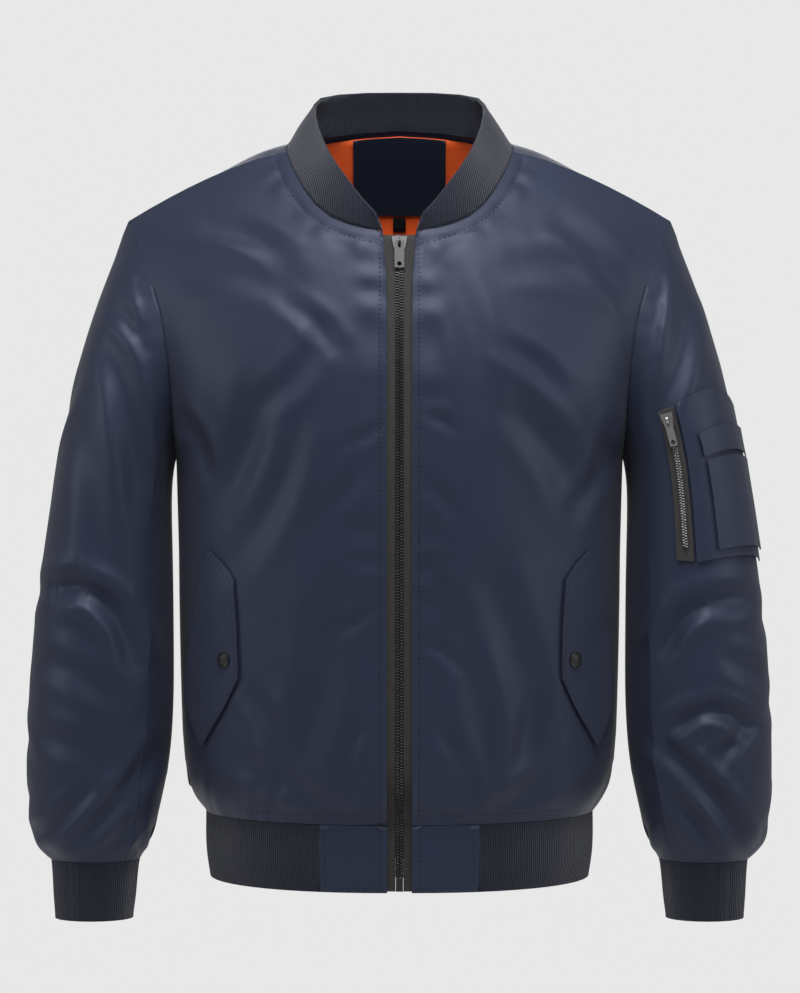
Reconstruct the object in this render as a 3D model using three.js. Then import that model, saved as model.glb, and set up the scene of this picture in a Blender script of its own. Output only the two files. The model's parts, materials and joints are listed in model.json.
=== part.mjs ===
// A nylon bomber jacket, worn shape, hollow. Millimetres, +Z up, the front faces -Y, and the
// wearer's left is +X. The origin is the middle of the neck, level with the neck points.
import * as THREE from 'three';
import { mergeVertices } from 'three/addons/utils/BufferGeometryUtils.js';

// ---------- Driving dimensions ----------
const CLOTH = 2.4; // shell, light wadding and lining, as one wall
const RIB = 3.2; // knitted rib, doubled
const GAP = 0.3; // between neighbours at a seam
const LAID = 1.4; // how far a sewn-on piece stands off the facets under it
const SIDE_Y = 6; // the side seam lies this far behind the middle
const FRONT_EDGE = 11; // half the width left open for the zip
const UNDERARM_Z = -288;
const HEM_SEAM_Z = -613;
const HEM_Z = -673;
const CUFF_Z = -709;
const TAB_EDGE = 71; // outer edge of a hem tab

const COLUMNS = 9; // facets across half a panel
const LOW_ROWS = 9; // facet rows from the hem seam to the underarm
const HIGH_ROWS = 12; // facet rows from the underarm to the shoulder seam
const RING = 24; // facets round a sleeve
const SLEEVE_ROWS = 17;
const FRONT_NECK = 5 / HIGH_ROWS; // lift at which a front row starts on the neck seam
const BACK_NECK = 7 / HIGH_ROWS;
const UNDER_FROM = 9; // ring facet where the under sleeve starts, in front
const UNDER_TO = 16; // and where it ends, behind

// ---------- Section tables ----------
// Rings of the body from the hem seam to the underarm: half width at the side seams, and how far
// the centre front and the centre back stand out.
const BODY = [
  { z: -613, width: 180, front: 121, back: 116 },
  { z: -606, width: 188, front: 128, back: 123 },
  { z: -590, width: 195, front: 134, back: 130 },
  { z: -560, width: 200.5, front: 138, back: 134 },
  { z: -510, width: 203, front: 140, back: 136 },
  { z: -420, width: 205, front: 142, back: 139 },
  { z: -340, width: 206, front: 143, back: 143 },
  { z: -288, width: 208, front: 143, back: 144 },
];

const CENTRE_FRONT = [
  { z: -288, out: 11, y: -143 },
  { z: -200, out: 11, y: -134 },
  { z: -140, out: 11.3, y: -119 },
  { z: -105, out: 12.5, y: -106 },
  { z: -84, out: 15, y: -98.5 },
];

const CENTRE_BACK = [
  { z: -288, y: 144 },
  { z: -200, y: 143 },
  { z: -120, y: 131 },
  { z: -60, y: 112 },
  { z: -18, y: 89 },
  { z: 27, y: 63 },
];

// Neck seam, from the zip round the shoulder seam (the middle row) to the centre back.
const NECK = [
  { at: 0, out: 15, y: -98.5, z: -84 },
  { at: 0.125, out: 42, y: -92, z: -79 },
  { at: 0.25, out: 69, y: -77, z: -65 },
  { at: 0.375, out: 90, y: -50, z: -37 },
  { at: 0.5, out: 104, y: -14, z: -4 },
  { at: 0.625, out: 104, y: 12, z: 7 },
  { at: 0.75, out: 88, y: 38, z: 15 },
  { at: 0.875, out: 50, y: 56, z: 23 },
  { at: 1, out: 0, y: 63, z: 27 },
];

// The folded top of the collar, over the same stations.
const COLLAR_TOP = [
  { at: 0, out: 23, y: -100, z: -70 },
  { at: 0.125, out: 43, y: -88, z: -42 },
  { at: 0.25, out: 62, y: -66, z: -14 },
  { at: 0.375, out: 73, y: -38, z: 10 },
  { at: 0.5, out: 79, y: -8, z: 32 },
  { at: 0.625, out: 79, y: 16, z: 47 },
  { at: 0.75, out: 68, y: 38, z: 56 },
  { at: 0.875, out: 38, y: 52, z: 61 },
  { at: 1, out: 0, y: 56, z: 62 },
];

// Armhole seam once round: shoulder tip, down the front, underarm, up the back, tip.
const ARMHOLE = [
  { at: 0, out: 251, y: -8, z: -67 },
  { at: 0.1, out: 239, y: -37, z: -94 },
  { at: 0.2, out: 219, y: -60, z: -148 },
  { at: 0.3, out: 209, y: -64, z: -205 },
  { at: 0.4, out: 207, y: -42, z: -263 },
  { at: 0.5, out: 208, y: 6, z: -288 },
  { at: 0.6, out: 211, y: 50, z: -258 },
  { at: 0.7, out: 221, y: 68, z: -202 },
  { at: 0.8, out: 234, y: 60, z: -140 },
  { at: 0.9, out: 247, y: 30, z: -87 },
  { at: 1, out: 251, y: -8, z: -67 },
];

// How a row above the underarm leaves the centre (leave) and reaches the armhole (reach).
const FRONT_ROWS = [
  { lift: 0, leaveX: 122, leaveY: 0, leaveZ: 0, reachX: 0, reachY: -82, reachZ: 0 },
  { lift: 0.25, leaveX: 108, leaveY: -1, leaveZ: -2, reachX: 12, reachY: -62, reachZ: 4 },
  { lift: 0.5, leaveX: 80, leaveY: 0, leaveZ: -10, reachX: 32, reachY: -36, reachZ: 14 },
  { lift: 0.75, leaveX: 52, leaveY: 2, leaveZ: -14, reachX: 46, reachY: -16, reachZ: 28 },
  { lift: 1, leaveX: 31, leaveY: 0, leaveZ: -3, reachX: 56, reachY: 0, reachZ: 35 },
];

const BACK_ROWS = [
  { lift: 0, leaveX: 129, leaveY: 0, leaveZ: 0, reachX: 0, reachY: 79, reachZ: 0 },
  { lift: 0.25, leaveX: 118, leaveY: 1, leaveZ: 0, reachX: 10, reachY: 62, reachZ: 2 },
  { lift: 0.5, leaveX: 103, leaveY: 2, leaveZ: -4, reachX: 26, reachY: 46, reachZ: 12 },
  { lift: 0.75, leaveX: 74, leaveY: -4, leaveZ: -12, reachX: 44, reachY: 26, reachZ: 26 },
  { lift: 0.9, leaveX: 44, leaveY: -2, leaveZ: -4, reachX: 52, reachY: 8, reachZ: 33 },
  { lift: 1, leaveX: 31, leaveY: 0, leaveZ: -3, reachX: 56, reachY: 0, reachZ: 35 },
];

// Rings of a sleeve from the armhole to the cuff seam: the outer line, the inner line, how far
// the middle lies forward (y) and half the depth from front to back.
const SLEEVE = [
  { at: 0, outX: 251, outZ: -67, inX: 208, inZ: -288, y: 2, depth: 66 },
  { at: 0.1, outX: 270, outZ: -112, inX: 210.5, inZ: -302, y: 1, depth: 72 },
  { at: 0.2, outX: 291, outZ: -172, inX: 211.5, inZ: -320, y: 0, depth: 74 },
  { at: 0.3, outX: 309, outZ: -245, inX: 211, inZ: -347, y: -3, depth: 73 },
  { at: 0.4, outX: 323, outZ: -325, inX: 209.5, inZ: -392, y: -6, depth: 70 },
  { at: 0.5, outX: 335, outZ: -412, inX: 208.5, inZ: -448, y: -10, depth: 67 },
  { at: 0.6, outX: 342, outZ: -490, inX: 208, inZ: -506, y: -14, depth: 65 },
  { at: 0.7, outX: 344, outZ: -556, inX: 211, inZ: -560, y: -17, depth: 63 },
  { at: 0.82, outX: 342, outZ: -612, inX: 220, inZ: -606, y: -20, depth: 57 },
  { at: 0.92, outX: 335, outZ: -640, inX: 227, inZ: -634, y: -22, depth: 47 },
  { at: 1, outX: 321, outZ: -655, inX: 239, inZ: -655, y: -22, depth: 34 },
];

// Largest folds, seen from the front (face -1) or the back (face 1), as a trough from one point
// to another.
const FOLDS = [
  { piece: 'sleeve_right', face: -1, x0: -330, z0: -408, x1: -268, z1: -440, deep: 6, wide: 16 },
  { piece: 'sleeve_right', face: -1, x0: -250, z0: -560, x1: -318, z1: -625, deep: 5, wide: 14 },
  { piece: 'sleeve_right', face: -1, x0: -250, z0: -190, x1: -240, z1: -300, deep: 5, wide: 14 },
  { piece: 'sleeve_left', face: -1, x0: 240, z0: -455, x1: 300, z1: -415, deep: 6, wide: 16 },
  { piece: 'sleeve_left', face: -1, x0: 245, z0: -530, x1: 318, z1: -530, deep: 5, wide: 14 },
  { piece: 'sleeve_left', face: -1, x0: 240, z0: -560, x1: 300, z1: -630, deep: 5, wide: 14 },
  { piece: 'sleeve_left', face: 1, x0: 250, z0: -420, x1: 320, z1: -440, deep: 5, wide: 16 },
  { piece: 'sleeve_right', face: 1, x0: -250, z0: -430, x1: -320, z1: -410, deep: 5, wide: 16 },
  { piece: 'front_right', face: -1, x0: -130, z0: -250, x1: -160, z1: -370, deep: 4, wide: 24 },
  { piece: 'front_left', face: -1, x0: 110, z0: -260, x1: 150, z1: -350, deep: 4, wide: 24 },
  { piece: 'front_left', face: -1, x0: 80, z0: -400, x1: 110, z1: -560, deep: 4, wide: 22 },
  { piece: 'back', face: 1, x0: -120, z0: -240, x1: -60, z1: -420, deep: 4, wide: 26 },
  { piece: 'back', face: 1, x0: 125, z0: -230, x1: 80, z1: -400, deep: 4, wide: 26 },
];

// ---------- Materials ----------
const paint = (color, roughness, metalness = 0) =>
  new THREE.MeshStandardMaterial({ color, roughness, metalness });
const nylon = () => paint(0x2b3350, 0.5);
const rib = () => paint(0x232a42, 0.9);
const tape = () => paint(0x2c2b29, 0.9);
const darkMetal = () => paint(0x35353a, 0.4, 0.9);
const silver = () => paint(0x9a9a9c, 0.3, 1);
const orange = () => paint(0xe8501c, 0.5);
const label = () => paint(0x111114, 0.8);

// ---------- Reading the tables ----------
// All columns of a table at a value of its key, on a smooth curve through the rows.
function read(table, key, value) {
  let i = 0;
  while (i < table.length - 2 && value > table[i + 1][key]) {
    i += 1;
  }
  const span = table[i + 1][key] - table[i][key];
  const f = Math.min(Math.max((value - table[i][key]) / span, 0), 1);
  const slope = (k, column) => {
    const before = table[Math.max(k - 1, 0)];
    const after = table[Math.min(k + 1, table.length - 1)];
    return (after[column] - before[column]) / (after[key] - before[key]);
  };
  const row = {};
  for (const column of Object.keys(table[0])) {
    row[column] =
      table[i][column] * (1 + 2 * f) * (1 - f) ** 2 +
      slope(i, column) * span * f * (1 - f) ** 2 +
      table[i + 1][column] * f * f * (3 - 2 * f) -
      slope(i + 1, column) * span * f * f * (1 - f);
  }
  return row;
}

const vector = (x, y, z) => new THREE.Vector3(x, y, z);
const mix = (a, b, f) => a + (b - a) * f;

const outline = (table, at) => {
  const row = read(table, 'at', at);
  return vector(row.out, row.y, row.z);
};

const between = (p0, p1, p2, p3, f) => new THREE.CubicBezierCurve3(p0, p1, p2, p3).getPoint(f);

// ---------- The garment's surfaces, for the +X side ----------
// rise runs from -1 at the hem seam to 0 at the underarm and 1 at the shoulder seam; across runs
// from 0 at the centre to 1 at the side seam or armhole.
function panelPoint(face, rise, across) {
  if (rise <= 0) {
    const ring = read(BODY, 'z', mix(UNDERARM_Z, HEM_SEAM_Z, -rise));
    const out = face < 0 ? ring.front : ring.back;
    const start = face < 0 ? FRONT_EDGE : 0;
    const leave = 0.62 * (ring.width - start);
    return between(
      vector(start, face * out, ring.z),
      vector(start + leave, face * out, ring.z),
      vector(ring.width, SIDE_Y + face * 0.57 * out, ring.z),
      vector(ring.width, SIDE_Y, ring.z),
      across,
    );
  }
  const neckLift = face < 0 ? FRONT_NECK : BACK_NECK;
  const neckZ = face < 0 ? CENTRE_FRONT.at(-1).z : CENTRE_BACK.at(-1).z;
  let start;
  if (rise <= neckLift) {
    const centre = read(
      face < 0 ? CENTRE_FRONT : CENTRE_BACK, 'z', mix(UNDERARM_Z, neckZ, rise / neckLift));
    start = vector(centre.out ?? 0, centre.y, centre.z);
  } else {
    const along = (rise - neckLift) / (1 - neckLift);
    start = outline(NECK, face < 0 ? 0.5 * along : 1 - 0.5 * along);
  }
  const end = outline(ARMHOLE, face < 0 ? 0.5 * (1 - rise) : 0.5 * (1 + rise));
  const row = read(face < 0 ? FRONT_ROWS : BACK_ROWS, 'lift', rise);
  return between(
    start,
    start.clone().add(vector(row.leaveX, row.leaveY, row.leaveZ)),
    end.clone().add(vector(-row.reachX, row.reachY, row.reachZ)),
    end,
    across,
  );
}

// A sleeve at a share of its length and of its way round: 0 is the outer line, 0.25 the front.
function sleevePoint(along, round) {
  const ellipse = (at) => {
    const ring = read(SLEEVE, 'at', at);
    const angle = 2 * Math.PI * round;
    const f = 0.5 + 0.5 * Math.cos(angle);
    return vector(
      mix(ring.inX, ring.outX, f), ring.y - ring.depth * Math.sin(angle), mix(ring.inZ, ring.outZ, f));
  };
  const bow = outline(ARMHOLE, ((round % 1) + 1) % 1).sub(ellipse(0));
  const fade = Math.max(1 - along / 0.35, 0) ** 2;
  return ellipse(along).addScaledVector(bow, fade);
}

// ---------- Patches: grids of points with their outward directions ----------
const seamDirections = new Map();
const keyOf = (p) => [p.x, p.y, p.z].map((value) => Math.round(value * 20 + 0.137)).join();

// A slit, as at the back's neck, is a pair of columns that part above a row.
function patchOf(name, columns, rows, pointAt, outwards, slit = null) {
  const points = [];
  for (let j = 0; j <= rows; j += 1) {
    points.push([]);
    for (let i = 0; i <= columns; i += 1) {
      points[j].push(pointAt(i, j));
    }
  }
  const patch = { name, columns, rows, points, slit };
  patch.normals = directions(patch, outwards);
  fold(patch);
  patch.normals = directions(patch, outwards);
  for (const [j, line] of points.entries()) {
    for (const [i, p] of line.entries()) {
      if (i === 0 || j === 0 || i === columns || j === rows || onSlit(patch, i, j)) {
        const key = keyOf(p);
        seamDirections.set(key, [...(seamDirections.get(key) ?? []), patch.normals[j][i]]);
      }
    }
  }
  return patch;
}

const onSlit = ({ slit }, i, j) =>
  slit !== null && j >= slit.row && (i === slit.column || i === slit.column + 1);

// The column next to this one: past the slit below its foot, and no further at its edge.
function beside({ columns, slit }, i, j, step) {
  const next = Math.min(Math.max(i + step, 0), columns);
  const crosses = slit !== null && Math.min(i, next) === slit.column && i !== next;
  if (!crosses) {
    return next;
  }
  return j > slit.row ? i : next + step;
}

function directions(patch, outwards) {
  const { rows, points } = patch;
  return points.map((line, j) =>
    line.map((_, i) => {
      const across = points[j][beside(patch, i, j, 1)].clone().sub(points[j][beside(patch, i, j, -1)]);
      const up = points[Math.min(j + 1, rows)][i].clone().sub(points[Math.max(j - 1, 0)][i]);
      return across.cross(up).normalize().multiplyScalar(outwards);
    }),
  );
}

// Press the folds into a patch, leaving its seams where they are.
function fold({ name, columns, rows, points, normals }) {
  for (const crease of FOLDS.filter((row) => name.startsWith(row.piece))) {
    const from = new THREE.Vector2(crease.x0, crease.z0);
    const to = new THREE.Vector2(crease.x1, crease.z1);
    for (let j = 1; j < rows; j += 1) {
      for (let i = 1; i < columns; i += 1) {
        const p = points[j][i];
        const spot = new THREE.Vector2(p.x, p.z);
        const run = to.clone().sub(from);
        const f = Math.min(Math.max(spot.clone().sub(from).dot(run) / run.lengthSq(), 0), 1);
        const away = spot.distanceTo(from.clone().addScaledVector(run, f));
        const facing = Math.max(normals[j][i].y * crease.face, 0);
        const depth = crease.deep * facing * Math.exp(-((away / crease.wide) ** 2));
        p.addScaledVector(normals[j][i], -depth);
      }
    }
  }
}

// ---------- Solids ----------
// A closed wall between two grids of points.
function wall(outer, inner, slit = null) {
  const rows = outer.length;
  const columns = outer[0].length;
  const position = [...outer.flat(), ...inner.flat()].flatMap((p) => [p.x, p.y, p.z]);
  const at = (layer, j, i) => layer * rows * columns + j * columns + i;
  const index = [];
  const quad = (a, b, c, d) => index.push(a, b, c, a, c, d);
  for (let j = 0; j < rows - 1; j += 1) {
    for (let i = 0; i < columns - 1; i += 1) {
      if (slit !== null && i === slit.column) {
        if (j >= slit.row) {
          quad(at(0, j, i), at(1, j, i), at(1, j + 1, i), at(0, j + 1, i));
          quad(at(0, j, i + 1), at(0, j + 1, i + 1), at(1, j + 1, i + 1), at(1, j, i + 1));
        }
        continue;
      }
      quad(at(0, j, i), at(0, j, i + 1), at(0, j + 1, i + 1), at(0, j + 1, i));
      quad(at(1, j, i), at(1, j + 1, i), at(1, j + 1, i + 1), at(1, j, i + 1));
    }
  }
  for (let i = 0; i < columns - 1; i += 1) {
    if (slit !== null && i === slit.column) {
      continue;
    }
    quad(at(0, 0, i), at(1, 0, i), at(1, 0, i + 1), at(0, 0, i + 1));
    quad(at(0, rows - 1, i), at(0, rows - 1, i + 1), at(1, rows - 1, i + 1), at(1, rows - 1, i));
  }
  for (let j = 0; j < rows - 1; j += 1) {
    quad(at(0, j, 0), at(0, j + 1, 0), at(1, j + 1, 0), at(1, j, 0));
    quad(at(0, j, columns - 1), at(1, j, columns - 1), at(1, j + 1, columns - 1),
      at(0, j + 1, columns - 1));
  }
  const geometry = new THREE.BufferGeometry();
  geometry.setAttribute('position', new THREE.Float32BufferAttribute(position, 3));
  geometry.setIndex(volume(position, index) < 0 ? index.reverse() : index);
  geometry.computeVertexNormals();
  return geometry;
}

function volume(position, index) {
  const corner = (k) => vector(...position.slice(3 * k, 3 * k + 3));
  let sum = 0;
  for (let k = 0; k < index.length; k += 3) {
    sum += corner(index[k]).dot(corner(index[k + 1]).cross(corner(index[k + 2])));
  }
  return sum;
}

// The cloth wall of a patch: its edges draw back by half the seam gap, and at a seam both
// neighbours turn their walls the same way, so that they don't cross inside.
function cloth(patch, thickness) {
  const { columns, rows, points, normals, slit } = patch;
  const outer = [];
  const inner = [];
  for (let j = 0; j <= rows; j += 1) {
    outer.push([]);
    inner.push([]);
    for (let i = 0; i <= columns; i += 1) {
      const own = normals[j][i];
      const turned = own.clone();
      let smooth = 1;
      for (const other of seamDirections.get(keyOf(points[j][i])) ?? []) {
        if (other !== own) {
          const share = THREE.MathUtils.smoothstep(own.dot(other), 0, 0.5);
          turned.addScaledVector(other, share);
          smooth = Math.min(smooth, share);
        }
      }
      turned.normalize();
      const p = points[j][i].clone();
      const draw = (alongA, alongB, inside) => {
        const edge = alongB.clone().sub(alongA).cross(turned).normalize();
        const side = Math.sign(edge.dot(inside.clone().sub(points[j][i])));
        p.addScaledVector(edge, (side * GAP) / 2 + side * 0.02);
      };
      if (i === 0 || i === columns) {
        draw(points[Math.max(j - 1, 0)][i], points[Math.min(j + 1, rows)][i],
          points[j][i === 0 ? 1 : i - 1]);
      }
      if (j === 0 || j === rows) {
        draw(points[j][beside(patch, i, j, -1)], points[j][beside(patch, i, j, 1)],
          points[j === 0 ? 1 : j - 1][i]);
      }
      if (onSlit(patch, i, j)) {
        const foot = j === slit.row;
        const inside = i === slit.column ? i - 1 : i + 1;
        draw(foot ? points[j + 1][slit.column] : points[j - 1][i],
          foot ? points[j + 1][slit.column + 1] : points[Math.min(j + 1, rows)][i],
          foot ? points[j - 1][i] : points[j][inside]);
      }
      p.addScaledVector(own, (-GAP * 0.6) * (1 - smooth));
      outer[j].push(p);
      inner[j].push(p.clone().addScaledVector(turned, -thickness));
    }
  }
  return wall(outer, inner, slit);
}

// A point of a patch's facets at fractional column and row, moved out by a distance.
function onFacets(patch, column, row, out) {
  const i = Math.min(Math.floor(column), patch.columns - 1);
  const j = Math.min(Math.floor(row), patch.rows - 1);
  const blend = (grid) => {
    const low = grid[j][i].clone().lerp(grid[j][i + 1], column - i);
    return low.lerp(grid[j + 1][i].clone().lerp(grid[j + 1][i + 1], column - i), row - j);
  };
  return blend(patch.points).addScaledVector(blend(patch.normals).normalize(), out);
}

// The same, found by where the point lies when looked at from the front.
function seenAt(patch, x, z, out) {
  for (let j = 0; j < patch.rows; j += 1) {
    for (let i = 0; i < patch.columns; i += 1) {
      for (const halves of [[[0, 0], [1, 0], [1, 1]], [[0, 0], [1, 1], [0, 1]]]) {
        const [a, b, c] = halves.map(([right, up]) => patch.points[j + up][i + right]);
        const [na, nb, nc] = halves.map(([right, up]) => patch.normals[j + up][i + right]);
        const whole = (b.x - a.x) * (c.z - a.z) - (b.z - a.z) * (c.x - a.x);
        const u = ((x - a.x) * (c.z - a.z) - (z - a.z) * (c.x - a.x)) / whole;
        const v = ((b.x - a.x) * (z - a.z) - (b.z - a.z) * (x - a.x)) / whole;
        if (Math.abs(whole) > 1 && u >= 0 && v >= 0 && u + v <= 1) {
          const blend = (p, q, r) => p.clone().multiplyScalar(1 - u - v)
            .addScaledVector(q, u).addScaledVector(r, v);
          return blend(a, b, c).addScaledVector(blend(na, nb, nc).normalize(), out);
        }
      }
    }
  }
  throw new Error(`nothing of ${patch.name} at ${x}, ${z}`);
}

// A sewn-on piece: pointAt(across, along, out) gives its points for shares from 0 to 1.
function laid(columns, rows, low, high, pointAt) {
  const grid = (out) => Array.from({ length: rows + 1 }, (_, j) =>
    Array.from({ length: columns + 1 }, (__, i) => pointAt(i / columns, j / rows, out)));
  return wall(grid(high), grid(low));
}

const jacket = new THREE.Group();

function add(name, geometry, material, parent = jacket) {
  const mesh = new THREE.Mesh(geometry, material);
  mesh.name = name;
  parent.add(mesh);
  return mesh;
}

// ---------- Body and sleeves ----------
const rowRise = (j) => (j <= LOW_ROWS ? lowRise(j) : (j - LOW_ROWS) / HIGH_ROWS);
// The rows crowd together at the hem, where the cloth turns in over the rib.
const lowRise = (j) => -((1 - j / LOW_ROWS) ** 0.62);
const mirrored = (p, side) => vector(side * p.x, p.y, p.z);

const patches = {};
const sides = { left: 1, right: -1 };

for (const [which, side] of Object.entries(sides)) {
  patches[`front_${which}`] = patchOf(`front_${which}`, COLUMNS, LOW_ROWS + HIGH_ROWS,
    (i, j) => mirrored(panelPoint(-1, rowRise(j), i / COLUMNS), side), side);
  const sleeve = (from, to) => (i, j) =>
    mirrored(sleevePoint(j / SLEEVE_ROWS, (((from + i) % RING) + RING) % RING / RING), side);
  patches[`sleeve_${which}_top`] = patchOf(`sleeve_${which}_top`, RING + UNDER_FROM - UNDER_TO,
    SLEEVE_ROWS, sleeve(UNDER_TO, RING + UNDER_FROM), side);
  patches[`sleeve_${which}_under`] = patchOf(`sleeve_${which}_under`, UNDER_TO - UNDER_FROM,
    SLEEVE_ROWS, sleeve(UNDER_FROM, UNDER_TO), side);
}
const neckSlit = { column: COLUMNS, row: LOW_ROWS + BACK_NECK * HIGH_ROWS };
patches.back = patchOf('back', 2 * COLUMNS + 1, LOW_ROWS + HIGH_ROWS, (i, j) => {
  const side = i <= COLUMNS ? -1 : 1;
  const across = (i <= COLUMNS ? COLUMNS - i : i - COLUMNS - 1) / COLUMNS;
  return mirrored(panelPoint(1, rowRise(j), across), side);
}, -1, neckSlit);

// ---------- Collar ----------
// Its stations are the panels' own corners on the neck seam.
function collarStations() {
  const half = [];
  for (let j = FRONT_NECK * HIGH_ROWS; j <= HIGH_ROWS; j += 1) {
    half.push((0.5 * (j / HIGH_ROWS - FRONT_NECK)) / (1 - FRONT_NECK));
  }
  for (let j = HIGH_ROWS - 1; j >= BACK_NECK * HIGH_ROWS; j -= 1) {
    half.push(1 - (0.5 * (j / HIGH_ROWS - BACK_NECK)) / (1 - BACK_NECK));
  }
  return half;
}
const stations = collarStations();
const COLLAR_ROWS = 3;
const COLLAR_BULGE = 2.5;
function collarPoint(i, j) {
  const last = stations.length - 1;
  const at = stations[i <= last ? i : 2 * last - i];
  const side = i <= last ? -1 : 1;
  const share = j / COLLAR_ROWS;
  const p = outline(NECK, at).lerp(outline(COLLAR_TOP, at), share);
  const bulge = COLLAR_BULGE * Math.sin(Math.PI * share) * Math.sin(Math.PI * Math.min(2 * at, 0.5));
  const out = vector(p.x, p.y - 10, 0).normalize().multiplyScalar(bulge);
  return mirrored(p.add(out), side);
}
patches.collar = patchOf('collar_rib', 2 * (stations.length - 1), COLLAR_ROWS, collarPoint, -1);

for (const [name, patch] of Object.entries(patches)) {
  if (name === 'collar') {
    add('collar_rib', cloth(patch, RIB), rib());
  } else {
    add(name, cloth(patch, CLOTH), nylon());
  }
}

// ---------- Hem and cuffs ----------
// The hem ring in plan, at a share of the half round from the zip; face as for the panels.
const HEM_ROWS = [
  { z: HEM_Z, width: 176, front: 121, back: 113 },
  { z: -655, width: 179.5, front: 123.5, back: 116 },
  { z: -630, width: 180.5, front: 122.5, back: 117 },
  { z: HEM_SEAM_Z - GAP, width: 180, front: 121, back: 116 },
];
function hemPoint(face, across, z, out) {
  const ring = read(HEM_ROWS, 'z', z);
  const depth = (face < 0 ? ring.front : ring.back) + out;
  const start = face < 0 ? FRONT_EDGE : 0;
  const width = ring.width + out;
  return between(
    vector(start, face * depth, z),
    vector(start + 0.62 * (width - start), face * depth, z),
    vector(width, SIDE_Y + face * 0.57 * depth, z),
    vector(width, SIDE_Y, z),
    across,
  );
}
// The share across at which the ring is a distance out from the middle.
function hemAcross(x) {
  let low = 0;
  let high = 1;
  for (let turn = 0; turn < 30; turn += 1) {
    const middle = (low + high) / 2;
    if (hemPoint(-1, middle, HEM_SEAM_Z - GAP, 0).x < x) {
      low = middle;
    } else {
      high = middle;
    }
  }
  return low;
}
const tabAcross = hemAcross(TAB_EDGE);
const ribAcross = hemAcross(TAB_EDGE + GAP);
const BAND_ROWS = 3;
const bandZ = (along) => mix(HEM_Z, HEM_SEAM_Z - GAP, along);
for (const [which, side] of Object.entries(sides)) {
  add(`hem_tab_${which}`, laid(3, BAND_ROWS, -CLOTH, 0, (across, along, out) =>
    mirrored(hemPoint(-1, across * tabAcross, bandZ(along), out), side)), nylon());
}
const HEM_FACETS = 44;
// Twice round the side seam: -2 and 2 are the tabs, -1 and 1 the side seams, 0 the centre back.
function hemRound(turn, z, out) {
  const side = turn < 0 ? -1 : 1;
  const way = Math.abs(turn);
  const p = way <= 1
    ? hemPoint(1, way, z, out)
    : hemPoint(-1, mix(1, ribAcross, way - 1), z, out);
  return mirrored(p, side);
}
add('hem_rib', laid(HEM_FACETS, BAND_ROWS, -RIB, 0, (across, along, out) =>
  hemRound(4 * across - 2, bandZ(along), out)), rib());

const CUFF = [
  { z: CUFF_Z, inX: 245, outX: 317, y: -24, depth: 29 },
  { z: -690, inX: 242, outX: 319, y: -23, depth: 31.5 },
  { z: -668, inX: 240.5, outX: 320, y: -22, depth: 33 },
  { z: -655 - GAP, inX: 239, outX: 321, y: -22, depth: 34 },
];
const CUFF_FACETS = 20;
// A band once round, closed on itself.
function tube(columns, rows, thickness, pointAt) {
  const shape = [];
  for (let j = 0; j <= rows; j += 1) {
    shape.push([j / rows, 0]);
  }
  for (let j = rows; j >= 0; j -= 1) {
    shape.push([j / rows, -thickness]);
  }
  const position = [];
  const index = [];
  for (let i = 0; i < columns; i += 1) {
    for (const [k, [along, out]] of shape.entries()) {
      position.push(...pointAt(i / columns, along, out).toArray());
      const next = (k + 1) % shape.length;
      const a = i * shape.length + k;
      const b = i * shape.length + next;
      const c = ((i + 1) % columns) * shape.length + next;
      const d = ((i + 1) % columns) * shape.length + k;
      index.push(a, b, c, a, c, d);
    }
  }
  const geometry = new THREE.BufferGeometry();
  geometry.setAttribute('position', new THREE.Float32BufferAttribute(position, 3));
  geometry.setIndex(volume(position, index) < 0 ? index.reverse() : index);
  geometry.computeVertexNormals();
  return geometry;
}
function cuffPoint(round, z, out) {
  const ring = read(CUFF, 'z', z);
  const angle = 2 * Math.PI * round;
  const half = (ring.outX - ring.inX) / 2 + out;
  return vector((ring.outX + ring.inX) / 2 + half * Math.cos(angle),
    ring.y - (ring.depth + out) * Math.sin(angle), z);
}
for (const [which, side] of Object.entries(sides)) {
  add(`cuff_${which}`, tube(CUFF_FACETS, BAND_ROWS, RIB, (round, along, out) =>
    mirrored(cuffPoint(round, mix(CUFF_Z, -655 - GAP, along), out), side)), rib());
}

// ---------- Front zip ----------
const TAPE = 0.8;
const TAPE_IN = 3.5; // inner edge of each tape
const TAPE_OUT = 19;
const CHAIN_HALF = 3.1;
const CHAIN = 2.6;
const ZIP_TOP = -88;
const ZIP_BOTTOM = HEM_Z + 1;
// How far the cloth's outer face stands in front at the zip, along the panel's own facets.
function frontY(z) {
  const edge = patches.front_left.points.map((line) => line[0]).filter((p) => p.x < TAPE_IN * 5);
  let j = 0;
  while (j < edge.length - 2 && edge[j + 1].z < z) {
    j += 1;
  }
  const f = (z - edge[j].z) / (edge[j + 1].z - edge[j].z);
  return mix(edge[j].y, edge[j + 1].y, Math.min(Math.max(f, 0), 1));
}
// The tape lies behind the cloth, and further back where the cloth slopes.
const TAPE_REACH = 4;
function tapeY(z) {
  const spots = [-TAPE_REACH, 0, TAPE_REACH].map((step) => frontY(z + step));
  const slope = Math.abs(spots[2] - spots[0]) / (2 * TAPE_REACH);
  return Math.max(...spots) + (CLOTH + 0.3) * Math.hypot(1, slope) + 0.7;
}
const zipZ = (along) => mix(ZIP_BOTTOM, ZIP_TOP, along);
const ZIP_ROWS = 30;
for (const [which, side] of Object.entries(sides)) {
  add(`zip_tape_${which}`, laid(1, ZIP_ROWS, TAPE, 0, (across, along, out) => {
    const z = zipZ(along);
    return mirrored(vector(mix(TAPE_IN, TAPE_OUT, across), tapeY(z) + out, z), side);
  }), tape());
}
add('zip_chain', laid(1, ZIP_ROWS, 1.6, 1.6 - CHAIN, (across, along, out) => {
  const z = mix(ZIP_BOTTOM + 12, ZIP_TOP, along);
  return vector(mix(-CHAIN_HALF, CHAIN_HALF, across), tapeY(z) + out, z);
}), darkMetal());
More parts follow.
